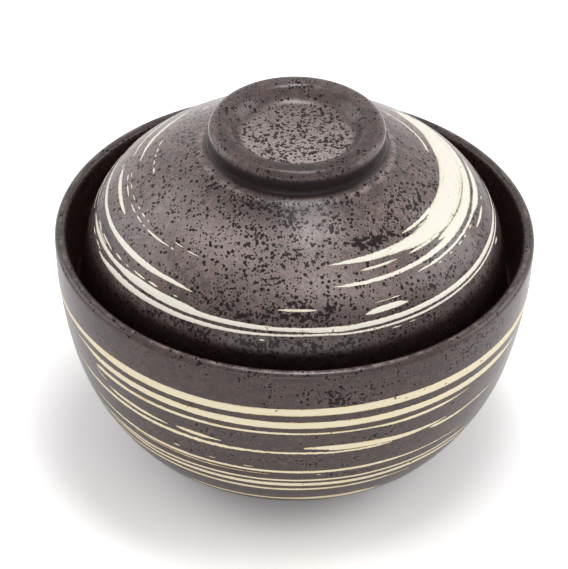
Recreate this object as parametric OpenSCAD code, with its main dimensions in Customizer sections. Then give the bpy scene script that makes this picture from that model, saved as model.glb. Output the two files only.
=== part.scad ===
// Donburi bowl with lid: a thrown stoneware bowl on a turned foot ring, and a domed lid with a
// ring knob that is dished inside. The lid drops within the bowl's lip, and its bare rim rests
// on a coned seat where the wall grows thicker. Each piece is one closed section turned about
// the upright axis, and its curves are chains of arcs set by how far the wall leans.
// Millimetres, +Z up, origin at the centre of the foot ring's resting face.

/* [Bowl] */
// Outside width of the bowl, just under its lip
bowl_width = 150; // [110:1:200]
// Height of the bowl, from the table to the top of its lip
bowl_height = 77.5; // [62:0.5:110]
// Thickness of the rounded lip
lip_thickness = 3.7; // [2.4:0.1:4.4]
// Thickness of the wall where it ends above the lid's seat
collar_thickness = 4.4; // [3:0.1:5.4]
// Thickness of the wall just below the lid's seat
wall_thickness = 6.8; // [6:0.1:8]
// Thickness of the floor over the foot's recess
floor_thickness = 5.6; // [3.5:0.1:9]
// Width of the flat underside, where the curve of the wall ends
underside_width = 77.8; // [72:0.2:90]

/* [Foot ring] */
// Outside width of the foot ring, where it meets the underside
foot_width = 62; // [46:1:66]
// Height of the foot ring
foot_height = 6; // [4.5:0.5:10]
// Thickness of the foot ring at its resting face
foot_thickness = 4.6; // [3.5:0.1:8]
// Lean of both walls of the foot ring from upright, in degrees
foot_lean = 7; // [2:1:14]

/* [Lid] */
// Depth of the middle of the lid's seat under the bowl's widest line
seat_depth = 21.2; // [14:0.2:30]
// Gap between the lid's rim and its seat
seat_clearance = 0.3; // [0.2:0.05:0.6]
// Height from the lid's rim to the crown of its dome, under the knob
lid_rise = 59.5; // [48:0.1:80]
// Thickness of the lid's wall
lid_thickness = 4.6; // [4:0.1:6.5]

/* [Ring knob] */
// Outside width of the ring knob at its lip
knob_width = 55.2; // [48:0.2:70]
// Height of the knob's crest above the dome's crown
knob_height = 3.6; // [2.6:0.1:8]
// Depth of the dish within the knob, under its crest
dish_depth = 4.4; // [3:0.1:6]
// Thickness of the ring at its root, between its outer wall and the dish's floor
knob_thickness = 10; // [8:0.1:13]
// How far the outer wall draws in from the knob's lip to its root
knob_undercut = 0.3; // [0:0.1:1.5]
// Lean of the dish's wall from upright, in degrees
dish_lean = 40; // [15:1:48]

/* [Edges] */
// Radius of the outer corner of the lid's rim, the one that rests on the seat
rim_radius = 1.6; // [1:0.1:2]
// Radius of the edges of the foot ring, of the seat and of the rim's inner corner
edge_radius = 1; // [0.5:0.1:1.2]
// Radius of the fillets at the root of the foot ring
root_radius = 1.8; // [1:0.1:3]
// Radius of the fillet where the knob rises from the dome
knob_root_radius = 2.8; // [1:0.1:3.5]
// Radius of the knob's outer lip
knob_lip_radius = 3; // [1.2:0.1:3.4]
// Radius of the knob's inner lip, where its dish begins
dish_lip_radius = 3.6; // [2:0.1:5]
// Radius of the hollow where the dish's wall meets its floor
dish_foot_radius = 5; // [2:0.1:7]

/* [Hidden] */
$fn = 180;

// Steps along each stretch of a curved wall, and round each corner
wall_steps = 14;
corner_steps = 8;

// The colours of the glazed clay
bowl_colour = "#544946";
lid_colour = "#6e625e";

// A curved wall starts upright or nearly so and leans further and further in. It is a chain of
// arcs: each stretch climbs its share of the whole rise, and the leans, in degrees from upright,
// are those at the ends of the stretches.
outside_lean_angles = [1.2, 14.2, 37.7, 90];
outside_rise_shares = [0.498, 0.377, 0.125];
inside_lean_angles = [11, 19.3, 46.4, 90];
inside_rise_shares = [0.352, 0.549, 0.099];
dome_lean_angles = [6.8, 8.2, 53.3, 64.5, 90];
dome_rise_shares = [0.287, 0.374, 0.274, 0.065];

// The level middle of the bowl's floor, as a share of the underside's radius, and of the lid's
// crown, as a share of the lid's
floor_level_share = 0.923;
crown_level_share = 0.14;

// Adds up the first n members of a list
function sum(list, n) = n <= 0 ? 0 : list[n - 1] + sum(list, n - 1);

// The points of a list, last first
function reversed(list) = [for (i = [len(list) - 1 : -1 : 0]) list[i]];

// The radius of a section line at a height, and its height at a radius
function radius_at(line, z) = lookup(z, [for (p = line) [p[1], p[0]]]);
function height_at(line, r) = lookup(r, line);

// The radius of the arc that climbs a rise while its lean goes from a to b
function lean_radius(rise, a, b) = rise / (sin(b) - sin(a));

// How far each stretch runs inwards while its arc is a true circle
function stretch_runs(rise, shares, leans) = [
    for (i = [0 : len(shares) - 1])
        lean_radius(rise * shares[i], leans[i], leans[i + 1]) * (cos(leans[i]) - cos(leans[i + 1]))
];

// A point k steps into stretch i of a wall whose run is scaled to fit: how far it has run in,
// how far it has climbed, and its unit normal, which points out of the curve
function wall_point(rise, scale, shares, leans, i, k) =
    let (
        lean = leans[i] + (leans[i + 1] - leans[i]) * k / wall_steps,
        radius = lean_radius(rise * shares[i], leans[i], leans[i + 1]),
        run = sum(stretch_runs(rise, shares, leans), i) + radius * (cos(leans[i]) - cos(lean)),
        climb = rise * sum(shares, i) + radius * (sin(lean) - sin(leans[i])),
        normal = [-cos(lean), scale * sin(lean)]
    )
    [run * scale, climb, normal / norm(normal)];

// A curved wall of a given rise and run, set in by a depth that grows evenly as it climbs
function curved_wall(rise, run, shares, leans, inset = 0, inset_growth = 0) =
    let (scale = run / sum(stretch_runs(rise, shares, leans), len(shares)))
    [
        for (i = [0 : len(shares) - 1])
            for (k = [(i == 0 ? 0 : 1) : wall_steps])
                let (p = wall_point(rise, scale, shares, leans, i, k))
                [p[0], p[1]] - p[2] * (inset + inset_growth * p[1] / rise)
    ];

// Puts a wall in place from its start: in towards the axis, and up, or down where up is -1
function placed(wall, start, up) = [for (p = wall) [start[0] - p[0], start[1] + p[1] * up]];

// Points round an arc from one angle to another
function arc(centre, radius, from, to) = [
    for (k = [0 : corner_steps])
        let (a = from + (to - from) * k / corner_steps)
        centre + radius * [cos(a), sin(a)]
];

// The corner at b between a and c, rounded as far as half of its shorter side allows
function rounded(a, b, c, radius) =
    let (
        u = (a - b) / norm(a - b),
        v = (c - b) / norm(c - b),
        half = acos(u * v) / 2,
        fitting = min(radius, min(norm(a - b), norm(c - b)) / 2 * tan(half)),
        centre = b + (u + v) / norm(u + v) * fitting / sin(half),
        first = b + u * fitting / tan(half) - centre,
        last = b + v * fitting / tan(half) - centre,
        turn = sign(first[0] * last[1] - first[1] * last[0]) * (180 - 2 * half),
        start = atan2(first[1], first[0])
    )
    arc(centre, fitting, start, start + turn);

// The outside of the bowl, from its widest line down to the flat underside
bowl_r = bowl_width / 2;
lip_r = lip_thickness / 2;
lip_centre = [bowl_r - lip_r, bowl_height - lip_r];
widest = [bowl_r, lip_centre[1]];
underside_r = underside_width / 2;
wall_rise = widest[1] - foot_height;
wall_run = bowl_r - underside_r;
bowl_outside = placed(
    curved_wall(wall_rise, wall_run, outside_rise_shares, outside_lean_angles),
    widest, -1
);

// The collar, inside and above the seat, grows evenly thicker from the lip down
collar_growth = (collar_thickness - lip_thickness) * wall_rise / seat_depth;
collar_inside = placed(
    curved_wall(wall_rise, wall_run, outside_rise_shares, outside_lean_angles,
        lip_thickness, collar_growth),
    widest, -1
);

// The seat is the cone where the wall steps from the collar's thickness to its own
seat_z = widest[1] - seat_depth;
seat_step = wall_thickness - collar_thickness;
seat_top_z = seat_z + seat_step / 2;
seat_foot_z = seat_z - seat_step / 2;
seat_top = [radius_at(collar_inside, seat_top_z), seat_top_z];
seat_foot = [radius_at(bowl_outside, seat_foot_z) - wall_thickness, seat_foot_z];

// The inside of the bowl below the seat, down to the level middle of its floor
floor_z = foot_height + floor_thickness;
bowl_inside = placed(
    curved_wall(seat_foot_z - floor_z, seat_foot[0] - underside_r * floor_level_share,
        inside_rise_shares, inside_lean_angles),
    seat_foot, -1
);

// The outer corner of the lid's rim faces the middle of the seat squarely, one clearance away
seat_slope = (seat_top - seat_foot) / norm(seat_top - seat_foot);
seat_normal = [-seat_slope[1], seat_slope[0]];
rim_centre = (seat_top + seat_foot) / 2 + seat_normal * (rim_radius + seat_clearance);
rim_z = rim_centre[1] - rim_radius;
rim_lean = dome_lean_angles[0];
rim_top = rim_centre + rim_radius * [cos(rim_lean), sin(rim_lean)];

// The dome, from the rim's corner up to the level middle of its crown, outside and inside
crown_z = rim_z + lid_rise;
dome_rise = crown_z - rim_top[1];
dome_run = rim_top[0] * (1 - crown_level_share);
dome_outside = placed(
    curved_wall(dome_rise, dome_run, dome_rise_shares, dome_lean_angles),
    rim_top, 1
);
dome_inside = placed(
    curved_wall(dome_rise, dome_run, dome_rise_shares, dome_lean_angles, lid_thickness),
    rim_top, 1
);

// The foot ring's line, from the middle of its recess out to the underside
function foot_line() =
    let (
        lean_run = foot_height * tan(foot_lean),
        outer_root = [foot_width / 2, foot_height],
        outer_edge = [outer_root[0] - lean_run, 0],
        inner_edge = [outer_edge[0] - foot_thickness, 0],
        inner_root = [inner_edge[0] - lean_run, foot_height],
        middle = [0, foot_height]
    )
    concat(
        [middle],
        rounded(middle, inner_root, inner_edge, root_radius),
        rounded(inner_root, inner_edge, outer_edge, edge_radius),
        rounded(inner_edge, outer_edge, outer_root, edge_radius),
        rounded(outer_edge, outer_root, [underside_r, foot_height], root_radius)
    );

// The lip is a half circle, and the seat's two corners are eased
function lip_line() = concat(arc(lip_centre, lip_r, 0, 90), arc(lip_centre, lip_r, 90, 180));

function seat_line() =
    let (
        above_z = seat_top_z + edge_radius,
        below_z = seat_foot_z - edge_radius,
        above = [radius_at(collar_inside, above_z), above_z],
        below = [radius_at(bowl_inside, below_z), below_z]
    )
    concat(
        rounded(above, seat_top, seat_foot, edge_radius),
        rounded(seat_top, seat_foot, below, edge_radius)
    );

module bowl() {
    color(bowl_colour)
        rotate_extrude()
            polygon(concat(
                foot_line(),
                reversed(bowl_outside),
                lip_line(),
                [for (p = collar_inside) if (p[1] > seat_top_z + edge_radius && p[1] < lip_centre[1]) p],
                seat_line(),
                [for (p = bowl_inside) if (p[1] < seat_foot_z - edge_radius) p],
                [[0, floor_z]]
            ));
}

// The rim's line, from its eased inner corner across the flat bare clay to the outer corner
function rim_line() =
    let (
        inner_z = rim_z + lid_thickness / 2,
        inner_wall = [radius_at(dome_inside, inner_z), inner_z],
        inner_corner = [rim_top[0] - lid_thickness, rim_z]
    )
    concat(
        rounded(inner_wall, inner_corner, [rim_centre[0], rim_z], edge_radius),
        arc(rim_centre, rim_radius, -90, rim_lean)
    );

// The ring knob's line, from the dome over the ring and down its dish to the axis
function knob_line() =
    let (
        crest_z = crown_z + knob_height,
        lip_edge = [knob_width / 2, crest_z],
        root_r = lip_edge[0] - knob_undercut,
        skirt_r = root_r + 2 * knob_root_radius,
        dish_r = root_r - knob_thickness,
        skirt = [skirt_r, height_at(dome_outside, skirt_r)],
        root = [root_r, height_at(dome_outside, root_r)],
        dish_foot = [dish_r, crest_z - dish_depth],
        dish_edge = [dish_r + dish_depth * tan(dish_lean), crest_z],
        middle = [0, dish_foot[1]]
    )
    concat(
        rounded(skirt, root, lip_edge, knob_root_radius),
        rounded(root, lip_edge, dish_edge, knob_lip_radius),
        rounded(lip_edge, dish_edge, dish_foot, dish_lip_radius),
        rounded(dish_edge, dish_foot, middle, dish_foot_radius),
        [middle]
    );

module lid() {
    knob = knob_line();
    knob_outer = knob[0];
    color(lid_colour)
        rotate_extrude()
            polygon(concat(
                rim_line(),
                [for (p = dome_outside) if (p[1] > rim_top[1] && p[0] > knob_outer[0]) p],
                knob,
                [[0, crown_z - lid_thickness]],
                reversed([for (p = dome_inside) if (p[1] > rim_z + lid_thickness / 2) p])
            ));
}

bowl();
lid();
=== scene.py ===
"""The donburi bowl with its lid: a turned stoneware bowl and lid in a satin iron glaze, with slip brushed
on in rings while each piece turned on the wheel."""
import math

import bmesh
import bpy
from mathutils import Matrix, Vector, noise


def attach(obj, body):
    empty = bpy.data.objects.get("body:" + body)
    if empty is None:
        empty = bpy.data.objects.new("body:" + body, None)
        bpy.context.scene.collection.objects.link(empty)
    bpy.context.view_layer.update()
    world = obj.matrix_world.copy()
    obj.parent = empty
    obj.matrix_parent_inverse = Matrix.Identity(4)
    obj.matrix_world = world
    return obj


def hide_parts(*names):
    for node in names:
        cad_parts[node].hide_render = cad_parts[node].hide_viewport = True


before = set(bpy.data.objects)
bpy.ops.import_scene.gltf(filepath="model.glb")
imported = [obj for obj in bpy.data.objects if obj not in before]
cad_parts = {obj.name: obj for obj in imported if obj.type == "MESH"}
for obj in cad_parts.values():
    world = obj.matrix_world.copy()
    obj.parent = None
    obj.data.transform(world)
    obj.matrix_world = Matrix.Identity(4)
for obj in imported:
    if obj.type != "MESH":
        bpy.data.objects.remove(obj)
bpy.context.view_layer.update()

# Real sizes in metres.
MM = 0.001
WALL_STEP = 1.3 * MM          # between rings of a wall
FLAT_STEP = 3 * MM            # between rings of a flat floor
LONG_RUN = 4 * MM             # a straight run of the section, not a facet of a curve
SHORT_RUN = 0.02 * MM         # a run too short to keep
SLIP_RISE = 0.1 * MM          # how far the slip stands above the glaze
SLIP_DEPTH = 0.22 * MM        # from the top of the slip to its underside, inside the glaze
BRUSHED_RADIUS = 66 * MM      # at which the length of a stroke is measured
UNDERSIDE = 6 * MM            # height of the bowl's flat underside, where its wall ends
DOME_MARK = (60 * MM, 68.229 * MM)   # radius on the lid's dome, and the way to it from the axis
DOME_START = 29.5 * MM        # way from the axis at which the dome leaves the ring knob
DOT_WOBBLE = 0.6 * MM         # how far the outline of a speck is pushed out of round
GLAZE_PEEL = 0.1 * MM         # depth of the glaze's orange peel
BRISTLE_DEPTH = 0.08 * MM     # depth of the bristle streaks in the slip

# Counts and angles.
TURNS = 360                   # faces round a piece
SHARP = math.radians(20)      # more than this is a real corner of the section
STROKE_STEP = 0.35            # degrees between columns of a stroke

# Real sizes in millimetres, for where the glaze changes.
LIP_CENTRE = (73.15, 75.65)   # radius and height of the middle of the bowl's rounded lip
LIP_RADIUS = 2.0              # a little over the radius of that lip
LIP_CREST = 84                # degrees up from level, where the lip is rubbed most and its painted highlight is brightest
INSIDE_BOWL = (71, 14)        # the bowl's inside wall lies within this radius and above this height
BARE_FOOT = 1.2               # height of the wiped band on the foot ring
RIM = 54.28                   # height of the lid's rim
RIM_INSIDE = 63               # the rim lies beyond this radius
KNOB_ROOT = 30.4              # way from the axis to the root of the ring knob, on the dome
KNOB = (29, 106)              # the knob lies within this radius and above this height
KNOB_LIP = 25                 # radius beyond which the knob's lip turns down to its wall
CREST = 117.38                # height of the knob's crest
HIGHLIGHT_LINE = 115.3             # height of the thin painted highlight line on the knob's lip
DISH_EDGE = 18.5              # radius at which the dish's crowded floor ends
DISH_FOOT = 16.8              # radius of the painted highlight arc at the back of the dish
THINNEST = 0.06               # least width of a stroke


# The sections, from the CAD nodes themselves

def section_of(node, starts_at):
    """The node's own section as (radius, height) points, from the axis inside to the axis outside."""
    half = bmesh.new()
    half.from_mesh(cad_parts[node].data)
    bmesh.ops.remove_doubles(half, verts=half.verts, dist=1e-6)
    for facing, clear in (((0, 1, 0), True), ((1, 0, 0), False)):
        bmesh.ops.bisect_plane(
            half, geom=half.verts[:] + half.edges[:] + half.faces[:], dist=1e-7,
            plane_co=(0, 0, 0), plane_no=facing, clear_inner=True, clear_outer=clear)
    ends = [v for v in half.verts if len(v.link_edges) == 1]
    here = starts_at(ends, key=lambda v: v.co.z)
    points, seen = [], set()
    while here:
        seen.add(here)
        points.append(Vector((here.co.x, here.co.z)))
        ahead = [e.other_vert(here) for e in here.link_edges if e.other_vert(here) not in seen]
        here = ahead[0] if ahead else None
    half.free()
    kept = [points[0]]
    for point in points[1:-1]:
        if (point - kept[-1]).length > SHORT_RUN:
            kept.append(point)
    return kept + [points[-1]]


def smoothed(points):
    """The same section with the facets of its curves rounded out and its straight runs left straight."""
    runs = [b - a for a, b in zip(points, points[1:])]
    into, out = [], []
    for i in range(len(points)):
        a = runs[max(i - 1, 0)]
        b = runs[min(i, len(runs) - 1)]
        if a.angle(b, 0) > SHARP:
            into.append(a.normalized())
            out.append(b.normalized())
            continue
        way = a.normalized() * b.length + b.normalized() * a.length
        if max(a.length, b.length) > 1.6 * min(a.length, b.length):
            way = max(a, b, key=lambda run: run.length)
        into.append(way.normalized())
        out.append(way.normalized())
    line = []
    for i, run in enumerate(runs):
        step = FLAT_STEP if run.length > LONG_RUN else WALL_STEP
        count = max(1, math.ceil(run.length / step))
        for k in range(count):
            t = k / count
            start, leave = points[i], out[i] * run.length
            end, arrive = points[i + 1], into[i + 1] * run.length
            line.append(start * (2 * t**3 - 3 * t**2 + 1) + leave * (t**3 - 2 * t**2 + t)
                        + end * (3 * t**2 - 2 * t**3) + arrive * (t**3 - t**2))
    return line + [points[-1]]


def measured(line):
    """The way along a line to each of its points."""
    ways = [0.0]
    for a, b in zip(line, line[1:]):
        ways.append(ways[-1] + (b - a).length)
    return ways


BOWL_LINE = smoothed(section_of("bowl", max))
LID_LINE = smoothed(section_of("lid", min))


def bowl_outside():
    """(way down from the widest line, radius, height) for the bowl's outside wall."""
    widest = max(range(len(BOWL_LINE)), key=lambda i: (round(BOWL_LINE[i].x, 7), -BOWL_LINE[i].y))
    wall = BOWL_LINE[widest:]
    return [(way, p.x, p.y) for way, p in zip(measured(wall), wall) if p.y > UNDERSIDE - 1e-6]


def lid_outside():
    """(way out from the axis, radius, height) for the lid's dome, from the knob's root to its rim."""
    ways = measured(LID_LINE)
    low = min(range(len(LID_LINE)), key=lambda i: LID_LINE[i].y)
    dome = list(zip(ways[low:], LID_LINE[low:]))
    above = [row for row in dome if row[1].y >= 80 * MM]
    mark = min(above, key=lambda row: abs(row[1].x - DOME_MARK[0]))[0]
    rows = [(DOME_MARK[1] + mark - way, p.x, p.y) for way, p in reversed(dome)]
    return [row for row in rows if row[0] > DOME_START]


BOWL_WALL = bowl_outside()
LID_DOME = lid_outside()


def on_wall(wall, way):
    """Radius, height and outward (radius, height) direction at that way along a wall."""
    low, high = 0, len(wall) - 1
    while high - low > 1:
        middle = (low + high) // 2
        if wall[middle][0] <= way:
            low = middle
        else:
            high = middle
    a, b = wall[low], wall[high]
    t = (way - a[0]) / max(b[0] - a[0], 1e-9)
    along = Vector((b[1] - a[1], b[2] - a[2])).normalized()
    return a[1] + (b[1] - a[1]) * t, a[2] + (b[2] - a[2]) * t, Vector((-along.y, along.x))


# Materials

def linear(code):
    """An sRGB hex colour as the linear colour that a shader takes."""
    parts = [int(code[i:i + 2], 16) / 255 for i in (1, 3, 5)]
    return tuple(c / 12.92 if c <= 0.04045 else ((c + 0.055) / 1.055) ** 2.4 for c in parts) + (1.0,)


def add(tree, kind, sockets=None, **settings):
    """One node with its settings, its values, and links from other nodes or their outputs."""
    node = tree.nodes.new(kind)
    for name, value in settings.items():
        setattr(node, name, value)
    for name, value in (sockets or {}).items():
        if isinstance(value, bpy.types.Node):
            value = value.outputs[0]
        if isinstance(value, bpy.types.NodeSocket):
            tree.links.new(value, node.inputs[name])
        else:
            node.inputs[name].default_value = value
    return node


def blank(name):
    """A new material with only its Principled shader and output."""
    material = bpy.data.materials.new(name)
    material.use_nodes = True
    tree = material.node_tree
    tree.nodes.clear()
    shader = add(tree, "ShaderNodeBsdfPrincipled")
    add(tree, "ShaderNodeOutputMaterial", {"Surface": shader.outputs[0]})
    return material, tree, shader


def per_metre(size_mm):
    """The texture scale at which a pattern repeats about every size_mm millimetres."""
    return 1000 / size_mm


PAINTED = ("specks", "worn_and_highlight", "pooled_and_shade", "bare")   # what each turned piece's own attributes hold
SPECK_AND_SHADE = "#1b1012"   # the iron itself, near black with a little red, in specks and pools, and the colour of the painted shade


def iron_specks(tree, place, specks, dots_of):
    """Dots and worm-like marks of iron, crowded by the specks: how far inside the edge of a dot a place
    lies, in millimetres, and how strongly it is marked."""
    # They crowd in knots of 6 mm.
    knots = add(tree, "ShaderNodeTexNoise", {
        "Vector": place, "Scale": per_metre(6), "Detail": 2, "Roughness": 0.55})
    knots = add(tree, "ShaderNodeMath", {0: knots, 1: 0.5}, operation="SUBTRACT")
    crowd = add(tree, "ShaderNodeMath", {0: knots, 1: 1.5, 2: specks}, operation="MULTIPLY_ADD")

    # Large and small dots, a little out of round, as millimetres inside their edge. Each size is the
    # spacing of its dots, and the radius of the largest as a share of that.
    jitter = add(tree, "ShaderNodeTexNoise", {"Vector": place, "Scale": per_metre(0.9), "Detail": 1})
    jitter = add(tree, "ShaderNodeVectorMath", {
        0: jitter.outputs[1], 1: (0.5, 0.5, 0.5)}, operation="SUBTRACT")
    nudged = add(tree, "ShaderNodeVectorMath", {
        0: jitter, 1: (DOT_WOBBLE, DOT_WOBBLE, DOT_WOBBLE), 2: place}, operation="MULTIPLY_ADD")
    inside = None
    for spacing, reach in dots_of:
        seeds = add(tree, "ShaderNodeTexVoronoi", {"Vector": nudged, "Scale": per_metre(spacing)})
        chance = add(tree, "ShaderNodeSeparateColor", {0: seeds.outputs["Color"]})
        chance = add(tree, "ShaderNodeMath", {0: crowd, 1: chance}, operation="SUBTRACT")
        size = add(tree, "ShaderNodeMapRange", {
            "Value": chance, "From Min": -0.1, "From Max": 0.4, "To Min": -0.2, "To Max": reach},
            interpolation_type="SMOOTHSTEP")
        edge = add(tree, "ShaderNodeMath", {0: size, 1: seeds.outputs["Distance"]}, operation="SUBTRACT")
        edge = add(tree, "ShaderNodeMath", {0: edge, 1: spacing}, operation="MULTIPLY")
        inside = edge if inside is None else add(
            tree, "ShaderNodeMath", {0: inside, 1: edge}, operation="MAXIMUM")
    dots = add(tree, "ShaderNodeMapRange", {
        "Value": inside, "From Min": -0.06, "From Max": 0.06}, interpolation_type="SMOOTHSTEP")

    # Worm-like marks, 0.6 mm wide, where they crowd most.
    worms = add(tree, "ShaderNodeTexNoise", {
        "Vector": place, "Scale": per_metre(1.25), "Detail": 1, "Roughness": 0.5, "Distortion": 0.3})
    worms = add(tree, "ShaderNodeMath", {0: crowd, 1: 0.37, 2: worms}, operation="MULTIPLY_ADD")
    worms = add(tree, "ShaderNodeMapRange", {
        "Value": worms, "From Min": 0.96, "From Max": 1.0}, interpolation_type="SMOOTHSTEP")
    return inside, add(tree, "ShaderNodeMath", {0: worms, 1: dots}, operation="MAXIMUM")


def iron_glaze(name, body, warm, cool, thin, dots_of):
    """Satin iron glaze over stoneware, poured and fired: brown-grey with a purple cast, mottled, scattered
    with near-black iron specks, pale where it ran thin over an edge and where highlights and sheen are
    painted, and black where it pools thick and where shade is painted."""
    material, tree, shader = blank(name)
    place = add(tree, "ShaderNodeTexCoord").outputs["Object"]
    specks, worn_and_highlight, pooled_and_shade, bare = [
        add(tree, "ShaderNodeAttribute", attribute_name=what).outputs["Fac"] for what in PAINTED]

    # Clouds of 16 mm, mottles of 3 mm, and the grain of the glaze, drawn at 0.9 mm to show.
    clouds = add(tree, "ShaderNodeTexNoise", {
        "Vector": place, "Scale": per_metre(16), "Detail": 3, "Roughness": 0.6})
    mottles = add(tree, "ShaderNodeTexNoise", {
        "Vector": place, "Scale": per_metre(3.2), "Detail": 3, "Roughness": 0.65})
    grain = add(tree, "ShaderNodeTexNoise", {
        "Vector": place, "Scale": per_metre(0.9), "Detail": 2, "Roughness": 0.6})
    warmth = add(tree, "ShaderNodeMapRange", {"Value": clouds, "From Min": 0.38, "From Max": 0.62})
    colour = add(tree, "ShaderNodeMix", {
        0: warmth, 6: linear(body), 7: linear(warm)}, data_type="RGBA").outputs[2]
    coolness = add(tree, "ShaderNodeMapRange", {
        "Value": mottles, "From Min": 0.42, "From Max": 0.6}, interpolation_type="SMOOTHSTEP")
    colour = add(tree, "ShaderNodeMix", {
        0: coolness, 6: colour, 7: linear(cool)}, data_type="RGBA").outputs[2]
    # Pale where the glaze ran thin, and pale where highlights and sheen are painted.
    thin_and_highlight = add(tree, "ShaderNodeMath", {0: mottles, 1: 0.7, 2: 0.65}, operation="MULTIPLY_ADD")
    thin_and_highlight = add(tree, "ShaderNodeMath", {0: thin_and_highlight, 1: worn_and_highlight}, operation="MULTIPLY", use_clamp=True)
    colour = add(tree, "ShaderNodeMix", {
        0: thin_and_highlight, 6: colour, 7: linear(thin)}, data_type="RGBA").outputs[2]
    shade = add(tree, "ShaderNodeMapRange", {
        "Value": grain, "From Min": 0.34, "From Max": 0.7, "To Max": 0.42})
    colour = add(tree, "ShaderNodeMix", {0: shade, 6: colour, 7: linear(SPECK_AND_SHADE)}, data_type="RGBA").outputs[2]

    inside, marks = iron_specks(tree, place, specks, dots_of)
    # Each speck drew the iron from a paler ring of 0.4 mm about it.
    ring = add(tree, "ShaderNodeMapRange", {
        "Value": inside, "From Min": -0.5, "From Max": -0.1, "To Max": 0.1}, interpolation_type="SMOOTHSTEP")
    colour = add(tree, "ShaderNodeMix", {0: ring, 6: colour, 7: linear(thin)}, data_type="RGBA").outputs[2]
    # Black where the glaze pools thick, and darker to black where shade is painted.
    colour = add(tree, "ShaderNodeMix", {
        0: pooled_and_shade, 6: colour, 7: linear(SPECK_AND_SHADE)}, data_type="RGBA").outputs[2]
    dark = add(tree, "ShaderNodeMath", {0: marks, 1: 0.94}, operation="MULTIPLY")
    colour = add(tree, "ShaderNodeMix", {0: dark, 6: colour, 7: linear(SPECK_AND_SHADE)}, data_type="RGBA").outputs[2]

    # Bare clay where the glaze was wiped off: sandy brown, rough, with 0.8 mm grit.
    grit = add(tree, "ShaderNodeTexNoise", {
        "Vector": place, "Scale": per_metre(0.8), "Detail": 4, "Roughness": 0.8})
    sandy = add(tree, "ShaderNodeMapRange", {"Value": grit, "From Min": 0.35, "From Max": 0.7})
    clay = add(tree, "ShaderNodeMix", {
        0: sandy, 6: linear("#7d6a55"), 7: linear("#a8927a")}, data_type="RGBA").outputs[2]
    wiped = add(tree, "ShaderNodeMath", {0: grain, 1: 0.25, 2: bare}, operation="MULTIPLY_ADD")
    wiped = add(tree, "ShaderNodeMapRange", {"Value": wiped, "From Min": 0.55, "From Max": 0.66})
    colour = add(tree, "ShaderNodeMix", {0: wiped, 6: colour, 7: clay}, data_type="RGBA").outputs[2]
    tree.links.new(colour, shader.inputs["Base Color"])

    gloss = add(tree, "ShaderNodeMath", {0: clouds, 1: 0.14, 2: 0.17}, operation="MULTIPLY_ADD")
    gloss = add(tree, "ShaderNodeMath", {0: wiped, 1: 0.4, 2: gloss}, operation="MULTIPLY_ADD")
    tree.links.new(gloss.outputs[0], shader.inputs["Roughness"])
    shader.inputs["IOR"].default_value = 1.5
    # The iron-rich specks and pools fired drier, with a weaker shine, and the painted shade is given the
    # same weaker shine.
    dry_and_shaded = add(tree, "ShaderNodeMath", {0: marks, 1: pooled_and_shade}, operation="MAXIMUM")
    shine = add(tree, "ShaderNodeMapRange", {"Value": dry_and_shaded, "To Min": 0.5, "To Max": 0.14})
    tree.links.new(shine.outputs[0], shader.inputs["Specular IOR Level"])

    # The glaze's own orange peel, with each speck a slight pit.
    peel = add(tree, "ShaderNodeTexNoise", {
        "Vector": place, "Scale": per_metre(2.4), "Detail": 2, "Roughness": 0.5})
    height = add(tree, "ShaderNodeMath", {0: grain, 1: 0.35, 2: peel}, operation="MULTIPLY_ADD")
    height = add(tree, "ShaderNodeMath", {0: marks, 1: -0.2, 2: height}, operation="MULTIPLY_ADD")
    rough = add(tree, "ShaderNodeMath", {0: grit, 1: wiped}, operation="MULTIPLY")
    height = add(tree, "ShaderNodeMath", {0: rough, 1: 0.8, 2: height}, operation="MULTIPLY_ADD")
    bump = add(tree, "ShaderNodeBump", {"Height": height, "Strength": 0.5, "Distance": GLAZE_PEEL})
    tree.links.new(bump.outputs[0], shader.inputs["Normal"])
    return material


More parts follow.
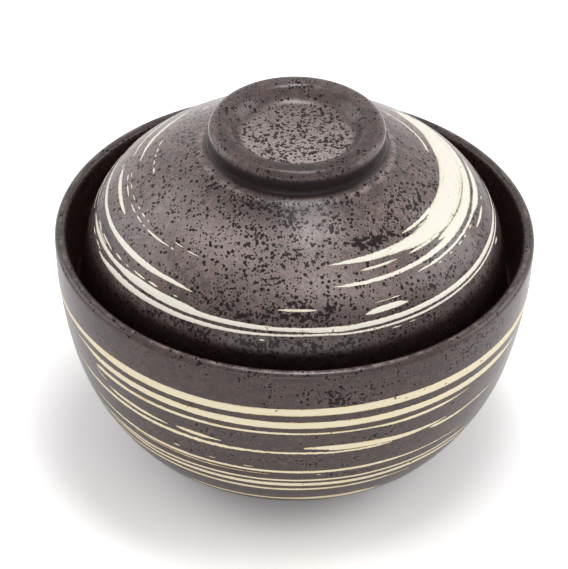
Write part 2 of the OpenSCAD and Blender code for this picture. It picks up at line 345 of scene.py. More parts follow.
def brushed_slip(name, thick, thin, scraped):
    """White clay slip brushed on under a clear glaze: opaque and creamy where it lies thick, golden and
    streaked by the bristles where it is thin."""
    material, tree, shader = blank(name)
    place = add(tree, "ShaderNodeTexCoord").outputs["Object"]
    along = add(tree, "ShaderNodeUVMap", uv_map="OFBake")

    # Bristle streaks, 0.4 mm across and 12 mm long, on the stroke's own length and width.
    bristles = add(tree, "ShaderNodeMapping", {"Vector": along, "Scale": (per_metre(12), per_metre(0.4), 1)})
    streaks = add(tree, "ShaderNodeTexNoise", {
        "Vector": bristles, "Scale": 1.0, "Detail": 2, "Roughness": 0.6})
    streaks = add(tree, "ShaderNodeMapRange", {"Value": streaks, "From Min": 0.3, "From Max": 0.62})
    grain = add(tree, "ShaderNodeTexNoise", {
        "Vector": place, "Scale": per_metre(1.3), "Detail": 3, "Roughness": 0.7})
    cover = add(tree, "ShaderNodeAttribute", attribute_name="cover").outputs["Fac"]
    for texture, weight in ((streaks, 0.75), (grain, 0.5)):
        offset = add(tree, "ShaderNodeMath", {0: texture, 1: 0.5}, operation="SUBTRACT")
        cover = add(tree, "ShaderNodeMath", {0: offset, 1: weight, 2: cover}, operation="MULTIPLY_ADD")
    # From the glaze showing through, by a golden edge, to opaque slip.
    ramp = add(tree, "ShaderNodeValToRGB", {"Fac": cover})
    steps = ramp.color_ramp.elements
    steps[0].position, steps[0].color = 0.05, linear(scraped)
    steps[1].position, steps[1].color = 0.62, linear(thick)
    middle = steps.new(0.32)
    middle.color = linear(thin)
    # A few spots of 2 mm where the slip flaked thin.
    spots = add(tree, "ShaderNodeTexNoise", {
        "Vector": place, "Scale": per_metre(2.2), "Detail": 2, "Roughness": 0.6})
    spots = add(tree, "ShaderNodeMapRange", {
        "Value": spots, "From Min": 0.70, "From Max": 0.735}, interpolation_type="SMOOTHSTEP")
    colour = add(tree, "ShaderNodeMix", {0: spots, 6: ramp, 7: linear(scraped)}, data_type="RGBA").outputs[2]
    tree.links.new(colour, shader.inputs["Base Color"])
    gloss = add(tree, "ShaderNodeMath", {0: streaks, 1: 0.2, 2: 0.32}, operation="MULTIPLY_ADD")
    tree.links.new(gloss.outputs[0], shader.inputs["Roughness"])
    shader.inputs["IOR"].default_value = 1.47
    bump = add(tree, "ShaderNodeBump", {"Height": streaks, "Strength": 0.4, "Distance": BRISTLE_DEPTH})
    tree.links.new(bump.outputs[0], shader.inputs["Normal"])
    return material


# The same iron glaze on both pieces, its colour painted lighter on the lid, whose top faces the light, and
# darker on the bowl's side, which takes less of it.
BOWL_GLAZE = iron_glaze(
    "satin_iron_glaze_on_bowl", "#463430", "#4c3833", "#362b29", "#a3918f", ((1.6, 0.34), (1.0, 0.34)))
LID_GLAZE = iron_glaze(
    "satin_iron_glaze_on_lid", "#6c5958", "#7d6964", "#584d4b", "#bbaba8", ((1.7, 0.37), (1.0, 0.36)))
BOWL_SLIP = brushed_slip("cream_slip_on_bowl", "#f6e9c9", "#e0c084", "#8f6a42")
LID_SLIP = brushed_slip("white_slip_on_lid", "#ece7da", "#dccfb0", "#7a6552")


# The turned pieces

def facing(x, y):
    """Degrees round the axis from the side that faces the camera, towards +X."""
    return math.degrees(math.atan2(x, -y))


def near(angle, middle, half):
    """1 at the middle of a patch of angles, and down smoothly to 0 beyond its edges."""
    off = abs((angle - middle + 180) % 360 - 180) / half
    return math.exp(-off * off * 1.4)


def crowding(base, patches, angle, way):
    """How densely the iron specks lie at a place, from patches of (angle, half, way, half, more)."""
    value = base
    for middle, spread, depth, reach, more in patches:
        off = (way - depth) / reach
        value += more * near(angle, middle, spread) * math.exp(-off * off * 1.4)
    return value


# Patches of specks: degrees round and how far to each side, millimetres along the wall and how far to each
# side, and how much more crowded.
BOWL_PATCHES = (
    (11, 12, 6.5, 5, 0.75), (15, 10, 10, 2.5, 0.6), (46, 18, 5, 6, 0.7), (-8, 5, 2, 2.5, 0.6),
    (-40, 6, 5, 4, 0.35), (-40, 34, 8, 8, -0.15), (-20, 8, 16, 1, 0.5), (-14, 14, 26, 3, 0.35),
    (17, 12, 27, 2, 0.5), (-5, 26, 36, 3, 0.42), (13, 9, 37, 3, 0.4), (16, 8, 44.5, 1.5, 0.6),
    (16, 6, 52.5, 2, 0.6), (30, 20, 45, 4, 0.3), (150, 26, 8, 6, 0.6), (205, 20, 24, 6, 0.45),
    (-110, 20, 10, 6, 0.4), (110, 22, 30, 6, 0.35),
)
LID_PATCHES = (
    (-15, 50, 32, 3.5, 0.55), (0, 60, 40, 6, 0.35), (0, 60, 76, 3, 0.5), (34, 15, 47, 3, 0.9),
    (66, 16, 44, 4, 0.5), (-12, 18, 52, 9, 0.35), (0, 12, 66, 5, 0.6), (11, 3.5, 65, 6, 0.5),
    (-20, 14, 66, 4, 0.4), (44, 22, 67, 3, 0.45), (82, 14, 67, 2.5, 0.3), (-50, 16, 62, 3, 0.15),
    (-78, 14, 44, 7, 0.2), (108, 28, 44, 9, -0.1), (160, 40, 45, 9, 0.3), (205, 30, 60, 8, 0.3),
)
# Where the lid's glaze ran thin and pale, and where a sheen is painted on it, most of all on its front, in
# the same measures.
LID_PALE_AND_SHEEN = (
    (-30, 32, 48, 8, 0.5), (10, 18, 57, 7, 0.5), (30, 30, 63, 4, 0.25), (-8, 60, 40, 5, 0.15),
    (-95, 22, 60, 10, 0.25), (180, 60, 52, 10, 0.35),
)


def rise(value, low, high):
    """0 below low, 1 above high and even between them; the other way round where high is the lower."""
    return min(1.0, max(0.0, (value - low) / (high - low)))


def bowl_paint(angle, radius, height, way):
    """specks, rubbed glaze with painted highlight, glaze pools with painted shade, and bare clay at a point
    of the bowl, way along from the widest line or None.
    """
    specks, worn_and_highlight, pooled_and_shade, bare = 0.25, 0.0, 0.0, 0.0
    if way is not None:
        specks = crowding(0.28, BOWL_PATCHES, angle, way)
    over, up = radius - LIP_CENTRE[0], height - LIP_CENTRE[1]
    if up > 0 and math.hypot(over, up) < LIP_RADIUS:
        # The lip's crest is rubbed pale in dashes, with a painted highlight along it, most of all at the
        # front.
        crest = math.exp(-((math.degrees(math.atan2(up, over)) - LIP_CREST) / 16) ** 2)
        rub = noise.noise(Vector((angle * 0.3, 3.1, 0.2)))
        rub += 0.8 * noise.noise(Vector((angle * 0.9, 7.7, 0.2)))
        worn_and_highlight = crest * rise(rub, -0.1, 0.4) * (0.45 + 0.55 * near(angle, 8, 40))
        specks = 0.6
        pooled_and_shade = 0.15 * (1 - crest)
    if height < BARE_FOOT:
        bare = math.exp(-(height / 0.55) ** 2)
    # Painted shade: the bowl's inside wall a little darker.
    if way is None and radius < INSIDE_BOWL[0] and height > INSIDE_BOWL[1]:
        pooled_and_shade = 0.1
    return specks, worn_and_highlight, pooled_and_shade, bare


def lid_paint(angle, radius, height, way):
    """specks, thin glaze with painted sheen and highlight, glaze pools with painted shade, and bare clay at
    a point of the lid, way out from the axis or None.
    """
    specks, worn_and_highlight, pooled_and_shade, bare = 0.3, 0.0, 0.0, 0.0
    if way is not None:
        specks = crowding(0.62, LID_PATCHES, angle, way)
        # Pale with thin glaze, and with a painted sheen.
        worn_and_highlight = max(0.0, crowding(0.0, LID_PALE_AND_SHEEN, angle, way))
        # Painted shade: black on the upright skirt down in the bowl, darker on the dome towards it, and
        # darker under the knob's front.
        shade_under_knob = (0.12 + 0.55 * near(angle, -5, 50)) * rise(way, 42, 31)
        pooled_and_shade = max(0.9 * rise(way, 73, 79), 0.5 * rise(way, 59, 71), shade_under_knob)
        # A thin pale line, rubbed in dashes, at the knob's root: thin glaze with a painted highlight on the
        # fillet, which lifts the painted shade there.
        root = math.exp(-((way - KNOB_ROOT) / 0.45) ** 2)
        rub = noise.noise(Vector((angle * 0.9, 9.4, 1.7))) + noise.noise(Vector((angle * 0.2, 1.4, 1.7)))
        worn_and_highlight = max(worn_and_highlight, root * rise(rub, -0.3, 0.4))
        pooled_and_shade *= 1 - 0.6 * root
    elif radius < KNOB[0] and height > KNOB[1]:
        specks, worn_and_highlight, pooled_and_shade = knob_paint(angle, radius, height)
    if height < RIM + 1.2 and radius > RIM_INSIDE:
        bare = math.exp(-((height - RIM) / 0.6) ** 2)
    return specks, worn_and_highlight, pooled_and_shade, bare


def knob_paint(angle, radius, height):
    """specks, thin glaze with painted sheen and highlight, and glaze pools with painted shade on the ring
    knob:
    a dish crowded with marks, pale with thin glaze and a painted sheen, a crest with painted shade, a wall
    black with glaze pools and painted shade, and a painted highlight line along the knob's two sides."""
    if radius > KNOB_LIP:
        # Painted highlight: a thin pale line along the knob's two sides, none at its front and back.
        sides = rise(abs(angle), 45, 75) * rise(abs(angle), 135, 110)
        line = math.exp(-((height - HIGHLIGHT_LINE) / 0.3) ** 2) * sides
        # The wall under the lip black with glaze pools and painted shade; painted shade on the crest,
        # darkest at the front.
        wall = rise(height, 116.4, 114.6) * rise(height, 108.3, 109.4)
        crest = 0.22 + 0.35 * near(angle, 0, 60)
        return 0.55, 0.8 * line, max(crest, 0.97 * wall) * (1 - line)
    # In the dish: the floor pale with thin glaze and a painted sheen, palest at the front, a painted
    # highlight arc at its back, and painted shade on its walls, darkest at the front.
    edge = DISH_EDGE + 2 * math.cos(math.radians(angle))
    floor = rise(radius, edge, edge - 2) * float(height < CREST - 1)
    front = 0.5 + 0.5 * math.cos(math.radians(angle)) * min(1.0, radius / 12)
    foot = near(angle, 180, 60) * math.exp(-(radius - DISH_FOOT) ** 2) * 0.6
    worn_and_highlight = max((0.15 + 0.6 * front) * floor, foot)
    return 0.55 + 0.45 * floor, worn_and_highlight, (0.3 + 0.32 * front) * (1 - floor)


def spun(line):
    """A line spun once round the upright axis, and the layer that holds the index of each point's own
    ring."""
    piece = bmesh.new()
    ring_layer = piece.verts.layers.int.new("ring")
    rings = []
    for i, point in enumerate(line):
        ring = piece.verts.new((max(point.x, 0.0), 0.0, point.y))
        ring[ring_layer] = i
        rings.append(ring)
    for a, b in zip(rings, rings[1:]):
        piece.edges.new((a, b))
    # An eighth of the turn is spun, and seven turned copies of it close the ring.
    eighth = math.pi / 4
    bmesh.ops.spin(
        piece, geom=piece.verts[:] + piece.edges[:], cent=(0, 0, 0), axis=(0, 0, 1),
        angle=eighth, steps=TURNS // 8, use_merge=False, use_duplicate=False)
    bmesh.ops.spin(
        piece, geom=piece.verts[:] + piece.edges[:] + piece.faces[:], cent=(0, 0, 0), axis=(0, 0, 1),
        angle=7 * eighth, steps=7, use_merge=False, use_duplicate=True)
    bmesh.ops.remove_doubles(piece, verts=piece.verts, dist=1e-6)
    bmesh.ops.recalc_face_normals(piece, faces=piece.faces)
    return piece, ring_layer


def turned(name, node, line, wall, paint, material, body):
    """A piece turned on the wheel, with its paint and its own unwrapping."""
    piece, ring_layer = spun(line)
    layers = [piece.verts.layers.float.new(what) for what in PAINTED]
    outside = {(r, z): way / MM for way, r, z in wall}
    for v in piece.verts:
        radius, height = math.hypot(v.co.x, v.co.y) / MM, v.co.z / MM
        way = outside.get(tuple(line[v[ring_layer]]))
        for layer, value in zip(layers, paint(facing(v.co.x, v.co.y), radius, height, way)):
            v[layer] = value

    # Unwrapped with the turn across and the way along the section up.
    ways = measured(line)
    unwrap = piece.loops.layers.uv.new("OFBake")
    for face in piece.faces:
        face.smooth = True
        middle = face.calc_center_median()
        centre = math.atan2(middle.x, -middle.y) / (2 * math.pi) + 0.5
        for loop in face.loops:
            co = loop.vert.co
            round_share = centre
            if math.hypot(co.x, co.y) > 1e-6:
                round_share = math.atan2(co.x, -co.y) / (2 * math.pi) + 0.5
                round_share += round(centre - round_share)
            loop[unwrap].uv = (round_share, ways[loop.vert[ring_layer]] / ways[-1])
    return dressed(name, piece, material, body, node)


def dressed(name, made, material, body, node=None):
    """A mesh made an object with its material, riding on its body."""
    mesh = bpy.data.meshes.new(name)
    made.to_mesh(mesh)
    made.free()
    mesh.materials.append(material)
    piece = bpy.data.objects.new(name, mesh)
    bpy.context.scene.collection.objects.link(piece)
    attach(piece, body)
    if node:
        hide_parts(node)
    return piece


turned("glazed_bowl", "bowl", BOWL_LINE, BOWL_WALL, bowl_paint, BOWL_GLAZE, "bowl")
turned("glazed_lid", "lid", LID_LINE, LID_DOME, lid_paint, LID_GLAZE, "lid")


# The slip strokes

def eased(knots, angle):
    """Both edges of a stroke at an angle, on smooth curves through its knots (angle, edge, edge)."""
    i = 0
    while i < len(knots) - 2 and knots[i + 1][0] < angle:
        i += 1
    a, b = knots[i], knots[i + 1]
    before, after = knots[max(i - 1, 0)], knots[min(i + 2, len(knots) - 1)]
    span = b[0] - a[0]
    t = min(1.0, max(0.0, (angle - a[0]) / span))
    edges = []
    for side in (1, 2):
        leave = (b[side] - before[side]) / (b[0] - before[0]) * span
        arrive = (after[side] - a[side]) / (after[0] - a[0]) * span
        # A steeper slope than three chords would swing the curve past its knots.
        chord = b[side] - a[side]
        leave = max(-3 * abs(chord), min(3 * abs(chord), leave))
        arrive = max(-3 * abs(chord), min(3 * abs(chord), arrive))
        edges.append(a[side] * (2 * t**3 - 3 * t**2 + 1) + leave * (t**3 - 2 * t**2 + t)
                     + b[side] * (3 * t**2 - 2 * t**3) + arrive * (t**3 - t**2))
    return edges


def ragged_edges(knots, angle, ragged, seed):
    """Both edges of a stroke at an angle, frayed as by the hairs of the brush and never too close."""
    top, bottom = eased(knots, angle)
    broad = Vector((angle * 0.9, seed * 7.3, 0.0))
    fine = Vector((angle * 2.6, seed * 3.1, 4.0))
    frayed = [ragged * (noise.noise(broad + Vector((0, 0, k * 5))) * 0.9
                        + noise.noise(fine + Vector((0, 0, k * 5))) * 1.1) for k in (1, 2)]
    top, bottom = top + frayed[0], bottom + frayed[1]
    if bottom < top + THINNEST:
        middle = (top + bottom) / 2
        top, bottom = middle - THINNEST / 2, middle + THINNEST / 2
    return top, bottom


def stroke(into, wall, knots, cover=1.0, ragged=0.12, seed=0.0):
    """One stroke of the brush on a wall, a low ridge that is thickest along its middle."""
    first, last = knots[0][0], knots[-1][0]
    columns = max(2, math.ceil((last - first) / STROKE_STEP))
    rows = 6 if max(abs(k[2] - k[1]) for k in knots) > 1 else 4
    strip = bmesh.new()
    bmesh.ops.create_grid(strip, x_segments=columns, y_segments=rows, size=0.5)
    cover_layer = strip.verts.layers.float.new("cover")
    along = strip.loops.layers.uv.new("OFBake")
    lengths = {}
    for v in strip.verts:
        angle = first + (v.co.x + 0.5) * (last - first)
        across = 0.5 + 0.5 * math.sin(math.pi * v.co.y)
        top, bottom = ragged_edges(knots, angle, ragged, seed)
        way = top + (bottom - top) * across
        radius, height, out = on_wall(wall, way * MM)
        middle = 1 - abs(2 * across - 1)
        ridge = SLIP_RISE * (0.35 + 0.65 * min(1.0, middle * 1.6)) * min(1.0, 0.4 + (bottom - top) / 2)
        radius, height = radius + out.x * ridge, height + out.y * ridge
        turn = math.radians(angle)
        v.co = Vector((radius * math.sin(turn), -radius * math.cos(turn), height))
        v[cover_layer] = cover * (0.35 + 0.65 * min(1.0, middle * 2)) * min(1.0, 0.5 + (bottom - top) / 2)
        lengths[v] = (turn * BRUSHED_RADIUS, way * MM)
    # The strip has to face out from the axis before it is given its depth.
    strip.normal_update()
    strip.faces.ensure_lookup_table()
    face = strip.faces[len(strip.faces) // 2]
    middle = face.calc_center_median()
    out = Vector((middle.x, middle.y, 0.3 * middle.length))
    if face.normal.dot(out) < 0:
        bmesh.ops.reverse_faces(strip, faces=strip.faces)
    for face in strip.faces:
        face.smooth = True
        for loop in face.loops:
            loop[along].uv = lengths[loop.vert]
    strip.normal_update()
    bmesh.ops.solidify(strip, geom=strip.faces[:], thickness=SLIP_DEPTH)
    kept = bpy.data.meshes.new("stroke")
    strip.to_mesh(kept)
    strip.free()
    into.from_mesh(kept)
    bpy.data.meshes.remove(kept)


def dashes(into, wall, rows, cover=0.75, seed=0.0):
    """Short touches of the brush, pointed at both ends: (from, to, way, width) each."""
    for k, (first, last, way, width) in enumerate(rows):
        half = width / 2
        inner = min(1.5, (last - first) * 0.3)
        stroke(into, wall, (
            (first, way - half * 0.1, way + half * 0.1), (first + inner, way - half, way + half * 0.9),
            (last - inner, way - half * 0.8, way + half), (last, way, way + half * 0.2)),
            cover, width * 0.18, seed + k * 1.37)


# Strokes on the bowl: how thick the slip lies, how ragged its edges are in millimetres, and its knots, each
# with degrees round and both edges in millimetres down from the widest line.
BOWL_STROKES = (
    (1.0, 0.1, ((-215, 13.5, 13.7), (-200, 13.0, 14.3), (-170, 12.5, 14.5), (-130, 12.2, 14.2),
                (-90, 12.0, 14.0), (-60, 12.0, 14.0), (-50, 11.7, 14.6), (-40, 11.8, 15.0),
                (-20, 12.0, 15.0), (0, 11.7, 14.6), (20, 11.4, 14.5), (30, 11.4, 14.6), (50, 11.7, 14.9),
                (75, 12.0, 14.9), (110, 12.3, 14.5), (140, 12.4, 14.0), (158, 12.7, 13.0))),
    (1.0, 0.14, ((-67, 16.4, 16.6), (-60, 16.6, 17.5), (-55, 16.8, 18.8), (-50, 17.1, 19.3),
                 (-20, 17.2, 19.9), (0, 17.3, 20.1), (20, 17.4, 20.1), (40, 17.7, 20.2), (50, 17.8, 20.3),
                 (60, 17.9, 20.2), (67, 18.6, 19.5), (70, 19.0, 19.2))),
    (0.75, 0.1, ((-55.5, 21.6, 22.0), (-54, 21.1, 22.6), (-40, 21.8, 23.1), (-20, 21.9, 23.0),
                 (0, 22.0, 22.8), (20, 22.3, 23.0), (26, 22.3, 23.5), (40, 22.2, 23.3),
                 (48.5, 22.1, 22.3))),
    (0.5, 0.1, ((-55.5, 22.5, 22.9), (-55, 23.4, 24.0), (-53.5, 24.4, 25.1), (-51.5, 25.2, 25.5))),
    (0.8, 0.12, ((-51, 27.2, 27.5), (-48, 27.2, 28.5), (-40, 28.0, 29.3), (-34, 28.5, 29.4),
                 (-31.5, 29.0, 29.2))),
    (0.85, 0.12, ((-29, 28.3, 28.7), (-27, 27.9, 29.3), (-22, 28.3, 29.7), (-17, 29.2, 29.4))),
    (0.85, 0.2, ((-67, 27.2, 27.5), (-60, 28.9, 29.9), (-50, 29.8, 31.2), (-40, 30.6, 31.9),
                 (-30, 30.8, 32.2), (-20, 31.0, 32.4), (-8, 31.1, 32.1), (0, 31.1, 32.0),
                 (10, 31.4, 32.3), (22, 31.5, 32.3), (26, 31.8, 32.0))),
    (0.9, 0.16, ((3.5, 28.8, 29.5), (9, 28.5, 30.2), (10.5, 28.4, 30.8), (20, 28.7, 31.2),
                 (30, 29.6, 31.4), (38, 29.9, 30.8), (42, 30.0, 30.2))),
    (0.75, 0.22, ((37, 31.6, 31.8), (39, 31.2, 32.4), (46, 31.1, 32.2), (50, 30.8, 31.6),
                  (57, 30.5, 31.1), (62, 30.4, 30.6))),
    (0.75, 0.1, ((-60, 37.9, 38.2), (-50, 39.2, 40.2), (-40, 40.1, 41.4), (-35, 40.3, 41.7),
                 (-20, 40.8, 41.9), (0, 41.0, 42.3), (20, 41.1, 42.4), (30, 41.3, 42.3), (42, 41.6, 42.1),
                 (52, 41.8, 42.0))),
    (0.45, 0.08, ((-45, 41.9, 42.2), (-30, 42.4, 43.0), (-20, 42.9, 43.5), (-5, 43.3, 43.5))),
    (0.85, 0.1, ((-59, 43.3, 43.6), (-46, 44.9, 46.3), (-40, 46.0, 47.2), (-20, 46.3, 47.3),
                 (0, 46.5, 47.5), (40, 46.5, 47.5), (50, 46.1, 47.1), (58, 46.4, 46.6))),
    (0.95, 0.16, ((-57.5, 45.4, 45.6), (-46, 47.0, 48.6), (-40, 48.6, 50.0), (-20, 48.8, 50.6),
                  (0, 48.9, 51.0), (20, 49.2, 51.0), (40, 49.0, 50.7), (50, 49.3, 50.5),
                  (58, 50.0, 50.3))),
    (0.75, 0.1, ((-59.5, 50.4, 50.6), (-50, 51.2, 52.4), (-40, 52.0, 53.4), (-20, 52.8, 54.2),
                 (0, 53.1, 54.5), (20, 53.1, 54.3), (30, 53.3, 54.0), (36, 53.6, 53.8))),
    (0.6, 0.12, ((-32, 62.8, 63.1), (-24, 62.5, 63.9), (0, 62.4, 64.1), (20, 62.0, 65.2),
                 (26, 62.8, 64.4), (29.5, 63.6, 63.9))),
)
# The same hand's strokes on the side turned away, begun half a turn later.
BOWL_FAR_STROKES = (
    (1.0, 0.14, ((96, 18.5, 18.7), (106, 17.8, 19.5), (140, 17.4, 20.0), (180, 17.1, 19.9),
                 (215, 17.4, 19.8), (240, 17.8, 19.4), (258, 18.2, 18.4))),
    (0.7, 0.12, ((118, 22.3, 22.5), (128, 22.0, 23.1), (165, 21.9, 22.9), (205, 22.2, 23.3),
                 (232, 22.4, 23.1), (244, 22.7, 22.8))),
    (0.85, 0.2, ((76, 30.3, 30.5), (92, 30.0, 31.3), (130, 30.5, 32.2), (170, 30.9, 32.3),
                 (212, 30.5, 32.1), (240, 30.1, 31.1), (262, 29.7, 29.8))),
    (0.85, 0.16, ((148, 28.2, 28.4), (158, 27.8, 29.6), (176, 28.3, 30.1), (190, 29.3, 29.5))),
    (0.75, 0.12, ((84, 41.6, 41.8), (100, 41.0, 42.1), (150, 40.6, 42.0), (200, 40.8, 42.1),
                  (240, 41.2, 42.0), (262, 41.0, 41.2))),
    (0.9, 0.14, ((92, 47.2, 47.4), (110, 46.7, 48.6), (160, 46.4, 48.5), (205, 46.7, 48.8),
                 (238, 47.1, 48.4), (250, 47.6, 47.8))),
    (0.75, 0.12, ((112, 52.4, 52.6), (126, 52.1, 53.5), (180, 52.4, 53.8), (222, 52.2, 53.2),
                  (236, 52.5, 52.7))),
    (0.6, 0.12, ((160, 62.2, 62.4), (172, 61.7, 63.0), (200, 62.0, 63.4), (214, 62.7, 62.9))),
)
# Touches: degrees from and to, the way to their middle and their width in millimetres.
BOWL_TOUCHES = ((7, 8.5, 43.5, 0.5), (-31, -29, 38.2, 0.6), (-21, -19, 39.0, 0.4), (-12, -9, 39.9, 0.4))
# Strokes on the lid, in the same order, with both edges in millimetres out from the axis along the dome.
LID_STROKES = (
    (0.95, 0.12, ((-72, 74.1, 74.4), (-69, 73.8, 74.8), (-60, 72.9, 74.8), (-50, 72.7, 74.5),
                  (-40, 72.5, 74.1), (-30, 72.4, 73.8), (-18, 72.3, 73.3), (-5, 72.0, 72.7),
                  (9, 71.9, 72.5), (15, 72.3, 72.9), (35, 72.4, 73.1), (60, 72.4, 73.0), (85, 72.5, 73.1),
                  (98, 72.8, 73.0))),
    (1.0, 0.12, ((-87.5, 71.5, 71.8), (-80, 71.0, 72.2), (-70, 70.7, 72.0), (-60, 70.3, 71.7),
                 (-56, 69.8, 71.7), (-50, 69.3, 71.7), (-36, 69.0, 71.5), (-31, 69.2, 71.5),
                 (-28, 69.7, 71.4), (-10, 69.8, 71.1), (0, 69.9, 71.1), (10, 70.0, 71.6),
                 (15, 70.1, 71.9), (20, 70.1, 71.6), (40, 70.1, 71.6), (60, 70.2, 71.7), (80, 70.3, 71.7),
                 (96, 70.7, 71.6), (108, 70.7, 70.9))),
    (0.95, 0.08, ((-112.5, 65.7, 65.9), (-100, 65.3, 66.3), (-90, 65.2, 66.4), (-80, 65.0, 66.3),
                  (-70, 64.6, 66.1), (-60, 64.0, 65.9), (-48, 63.9, 65.6), (-40, 63.9, 65.2),
                  (-35, 64.3, 65.1), (-31.5, 64.8, 65.0))),
    (0.9, 0.06, ((-99, 59.6, 59.9), (-95, 59.0, 60.3), (-85, 58.9, 60.3), (-77, 59.0, 60.2),
                 (-73, 59.6, 59.8))),
    (0.8, 0.05, ((-60, 56.3, 56.5), (-58, 56.1, 56.7), (-52, 55.9, 56.5), (-47.5, 55.9, 56.1))),
    (0.8, 0.12, ((-134, 50.3, 50.6), (-129, 49.7, 51.4), (-120, 50.5, 52.3), (-110, 51.5, 53.1),
                 (-98, 52.6, 52.8))),
    (0.6, 0.12, ((-132, 56.8, 57.1), (-125, 56.4, 57.5), (-112, 56.6, 57.4), (-104, 57.0, 57.2))),
    (0.8, 0.1, ((101, 43.9, 44.0), (104, 43.5, 44.3), (111, 43.0, 43.9), (121, 41.8, 42.7),
                (131.5, 39.9, 40.8), (137.5, 39.5, 39.7))),
    (0.82, 0.2, ((13, 51.0, 51.1), (20, 50.4, 51.6), (30, 50.2, 52.2), (40, 50.1, 52.9), (46, 50.0, 53.8),
                 (50, 49.9, 54.3), (55, 49.7, 54.9), (60, 49.3, 55.3), (64, 48.5, 55.5), (68, 47.7, 55.6),
                 (80, 47.4, 55.7), (90, 47.1, 55.8), (100.5, 46.9, 56.3), (106, 46.6, 56.7),
                 (121, 47.4, 57.0), (131.5, 47.5, 56.9), (138, 49.0, 52.8), (140, 48.4, 49.4))),
    (0.85, 0.16, ((46, 48.1, 48.4), (50, 47.8, 48.7), (58, 47.7, 48.7), (66, 47.5, 48.8))),
    (0.85, 0.16, ((13.5, 58.0, 58.2), (20, 57.8, 58.8), (40, 57.7, 59.0), (50, 57.6, 59.1),
                  (58, 57.4, 59.2), (64, 56.7, 59.2), (68, 56.0, 59.2), (80, 55.9, 59.2),
                  (95, 56.0, 59.0), (110, 56.0, 58.8), (121, 56.4, 58.3), (131.5, 56.5, 57.8),
                  (136, 57.3, 57.6))),
    (0.85, 0.12, ((43.5, 54.6, 54.8), (47, 54.3, 55.1), (54, 54.6, 55.3), (60, 54.8, 55.5))),
    (0.85, 0.14, ((57.5, 56.4, 56.6), (60, 55.9, 57.1), (66, 55.8, 57.2), (72, 55.8, 57.0))),
    (0.8, 0.16, ((42, 60.8, 60.9), (50, 60.5, 61.3), (70, 60.5, 61.3), (80, 60.4, 61.4), (85, 60.2, 62.2),
                 (92, 60.3, 62.6), (100.5, 60.3, 62.3), (107, 60.8, 61.7), (113, 61.4, 61.6))),
    (0.8, 0.1, ((76, 64.1, 64.3), (78, 63.8, 64.6), (85, 63.8, 64.7), (88, 64.3, 64.4))),
    (0.8, 0.1, ((23.5, 54.4, 54.6), (26, 54.1, 54.9), (35, 54.2, 54.9), (38, 54.5, 54.6))),
    (0.8, 0.14, ((21.5, 67.7, 68.0), (24, 66.8, 68.3), (28, 66.4, 68.2), (33, 66.7, 68.1),
                 (35.5, 67.6, 67.8))),
    (0.55, 0.08, ((-4.5, 64.6, 64.8), (-2, 64.3, 65.0), (4, 64.3, 65.1), (7, 64.6, 64.8))),
)
# The lid's strokes on the side turned away.
LID_FAR_STROKES = (
    (0.9, 0.12, ((112, 72.6, 72.7), (124, 72.0, 73.2), (170, 71.9, 73.5), (215, 72.3, 73.7),
                 (250, 72.9, 73.9), (268, 73.3, 73.5))),
    (1.0, 0.12, ((122, 70.0, 70.2), (134, 69.6, 70.9), (175, 69.1, 71.1), (220, 69.7, 71.3),
                 (256, 70.2, 71.0), (270, 71.0, 71.1))),
    (0.9, 0.12, ((150, 64.2, 64.4), (162, 63.6, 65.1), (200, 63.9, 65.7), (236, 64.7, 66.1),
                 (246, 65.8, 66.0))),
    (0.8, 0.14, ((158, 56.9, 57.1), (168, 56.1, 57.9), (190, 56.3, 58.3), (212, 57.5, 57.7))),
)
LID_TOUCHES = (
    (-83, -79, 73.4, 0.5), (-77, -72, 73.5, 0.5), (28.5, 31.5, 74.0, 0.35), (34, 36.5, 73.9, 0.35),
    (-9, -7.5, 74.2, 0.5), (80, 84, 74.4, 0.8), (-82, -77, 69.9, 0.5), (-75, -66, 69.6, 0.6),
    (-64, -60, 69.0, 0.6), (-58, -56, 68.8, 0.5), (-54, -48, 68.5, 0.6), (-47, -43, 68.3, 0.6),
    (-37, -35.5, 68.1, 0.5), (-80, -70, 70.4, 0.35), (-102, -99, 60.0, 0.7), (-93, -89, 56.6, 0.5),
    (-87, -80, 56.6, 0.5), (-76, -70, 56.5, 0.5), (-69, -64, 56.5, 0.5), (-63, -61.5, 56.5, 0.4),
    (-46.5, -45, 56.0, 0.5), (-93, -90, 55.2, 0.35), (-86, -83, 55.1, 0.35), (-80, -76, 55.0, 0.35),
    (-72, -70, 54.7, 0.5), (-68, -65, 54.7, 0.5), (-63, -62, 54.6, 0.5), (-47, -42, 53.9, 0.35),
    (-40.5, -35, 54.2, 0.35), (-108, -103.5, 46.7, 0.7), (-102, -99, 46.6, 0.6), (-98, -95.5, 46.6, 0.6),
    (-93.5, -90, 46.7, 0.6), (-88.5, -84, 46.7, 0.7), (-137, -133, 43.0, 1.4), (51.5, 53, 62.0, 0.4),
    (57.5, 59, 62.0, 0.4), (63, 66, 62.0, 0.45), (67.5, 69, 62.0, 0.4), (72.5, 75, 62.0, 0.45),
    (90.5, 93, 64.2, 0.5), (25, 34, 65.1, 0.3), (54, 60, 49.4, 0.4),
)


def slip_strokes(name, wall, strokes, touches, material, body):
    """All the slip on one piece, as one object of closed strokes."""
    slip = bmesh.new()
    for k, (cover, ragged, knots) in enumerate(strokes):
        stroke(slip, wall, knots, cover, ragged, k * 1.7 + 0.3)
    dashes(slip, wall, touches, seed=50.0)
    return dressed(name, slip, material, body)


slip_strokes("bowl_slip_strokes", BOWL_WALL, BOWL_STROKES + BOWL_FAR_STROKES, BOWL_TOUCHES,
             BOWL_SLIP, "bowl")
slip_strokes("lid_slip_strokes", LID_DOME, LID_STROKES + LID_FAR_STROKES, LID_TOUCHES,
             LID_SLIP, "lid")


# The studio

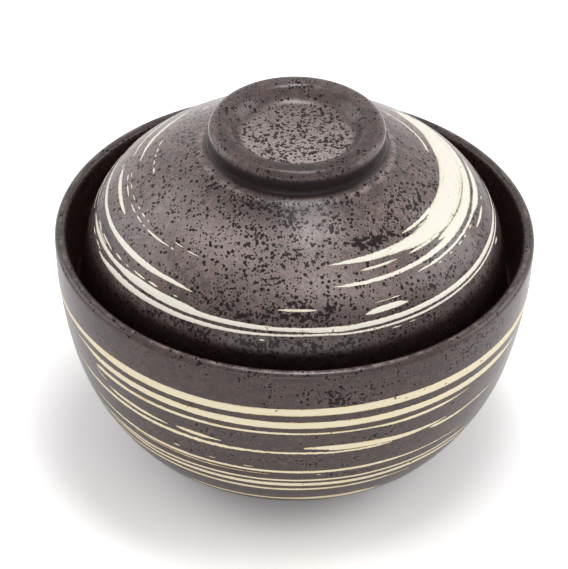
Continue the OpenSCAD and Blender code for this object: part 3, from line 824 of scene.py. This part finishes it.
def white_where_seen(tree, lighting, seen):
    """A mix of two shaders: the first lights the bowl, and the second is what the camera and glosses see."""
    path = add(tree, "ShaderNodeLightPath")
    share = path.outputs["Is Camera Ray"]
    for ray in ("Is Glossy Ray", "Is Transmission Ray"):
        share = add(tree, "ShaderNodeMath", {0: share, 1: path.outputs[ray]}, operation="MAXIMUM").outputs[0]
    return add(tree, "ShaderNodeMixShader", {0: share, 1: lighting, 2: seen})


def studio_floor():
    """A matt white sweep, 8 m across, that keeps the bowl's shadow."""
    floor = bmesh.new()
    bmesh.ops.create_circle(floor, cap_ends=True, segments=96, radius=4.0)
    bmesh.ops.recalc_face_normals(floor, faces=floor.faces)
    mesh = bpy.data.meshes.new("studio_floor")
    floor.to_mesh(mesh)
    floor.free()
    material = bpy.data.materials.new("matt_white_paper")
    material.use_nodes = True
    tree = material.node_tree
    tree.nodes.clear()
    place = add(tree, "ShaderNodeTexCoord").outputs["Object"]
    cloud = add(tree, "ShaderNodeTexNoise", {"Vector": place, "Scale": per_metre(400), "Detail": 1})
    paper = add(tree, "ShaderNodeMix", {0: cloud, 6: linear("#e4e3e3"), 7: linear("#ebeaea")},
                data_type="RGBA").outputs[2]
    matt = add(tree, "ShaderNodeBsdfDiffuse", {"Color": paper})
    # Seen, the paper is brighter than it lights: most of all by the camera, less in a gloss.
    path = add(tree, "ShaderNodeLightPath")
    lift = add(tree, "ShaderNodeMath", {
        0: path.outputs["Is Camera Ray"], 1: 0.4, 2: 1.5}, operation="MULTIPLY_ADD")
    lifted = add(tree, "ShaderNodeVectorMath", {0: paper, "Scale": lift}, operation="SCALE")
    bright = add(tree, "ShaderNodeBsdfDiffuse", {"Color": lifted})
    # Far from the bowl, the sweep runs out into the plain white background.
    away = add(tree, "ShaderNodeVectorMath", {0: place}, operation="LENGTH").outputs["Value"]
    far = add(tree, "ShaderNodeMapRange", {
        "Value": away, "From Min": 0.35, "From Max": 0.75}, interpolation_type="SMOOTHSTEP")
    plain = add(tree, "ShaderNodeEmission", {"Color": linear("#ffffff"), "Strength": 1.0})
    seen = add(tree, "ShaderNodeMixShader", {0: far, 1: bright, 2: plain})
    add(tree, "ShaderNodeOutputMaterial", {
        "Surface": white_where_seen(tree, matt, seen)})
    mesh.materials.append(material)
    piece = bpy.data.objects.new("studio_floor", mesh)
    bpy.context.scene.collection.objects.link(piece)


def studio_world(strength):
    """Dim white all round for the light, and plain white where it is seen."""
    world = bpy.data.worlds.new("studio")
    bpy.context.scene.world = world
    world.use_nodes = True
    tree = world.node_tree
    tree.nodes.clear()
    light = add(tree, "ShaderNodeBackground", {"Color": linear("#ffffff"), "Strength": strength})
    seen = add(tree, "ShaderNodeBackground", {"Color": linear("#ffffff"), "Strength": 1.0})
    add(tree, "ShaderNodeOutputWorld", {
        "Surface": white_where_seen(tree, light, seen)})


def softbox(name, place, target, size, power):
    """A square soft light at a place, turned to a target."""
    lamp = bpy.data.lights.new(name, "AREA")
    lamp.shape, lamp.size, lamp.size_y, lamp.energy = "RECTANGLE", size[0], size[1], power
    box = bpy.data.objects.new(name, lamp)
    box.location = place
    box.rotation_euler = (Vector(target) - Vector(place)).to_track_quat("-Z", "Y").to_euler()
    bpy.context.scene.collection.objects.link(box)


studio_floor()
studio_world(0.46)
# Place, target and size in metres, and power in watts.
softbox("overhead_softbox", (0.05, 0.04, 1.0), (0, 0, 0.06), (0.5, 0.3), 3.8)
softbox("left_softbox", (-1.2, 0.35, 0.55), (0, 0, 0.04), (1.0, 0.9), 4.8)
softbox("right_softbox", (1.2, 0.25, 0.55), (0, 0, 0.04), (1.0, 0.9), 6.4)
softbox("front_card", (0.0, -1.3, 0.18), (0, 0, 0.06), (2.0, 0.4), 5.2)


def camera():
    """The photograph's own view: 1.4 m off, 37 degrees above, with a long lens, a little rolled."""
    place = (0, -1.09968, 0.88097)
    yaw, pitch, roll = -0.0027, 0.6441, 0.0219      # radians
    ahead = Vector((math.sin(yaw) * math.cos(pitch), math.cos(yaw) * math.cos(pitch), -math.sin(pitch)))
    right = ahead.cross(Vector((0, 0, 1))).normalized()
    up = right.cross(ahead)
    right, up = (math.cos(roll) * right + math.sin(roll) * up,
                 math.cos(roll) * up - math.sin(roll) * right)
    lens = bpy.data.cameras.new("photo_camera")
    lens.sensor_fit, lens.sensor_width, lens.lens = "HORIZONTAL", 36.0, 276.02
    lens.clip_start, lens.clip_end = 0.05, 50
    eye = bpy.data.objects.new("photo_camera", lens)
    turned_to = Matrix((right, up, -ahead)).transposed().to_4x4()
    eye.matrix_world = Matrix.Translation(place) @ turned_to
    bpy.context.scene.collection.objects.link(eye)
    bpy.context.scene.camera = eye


camera()
bpy.context.scene.view_settings.view_transform = "Standard"
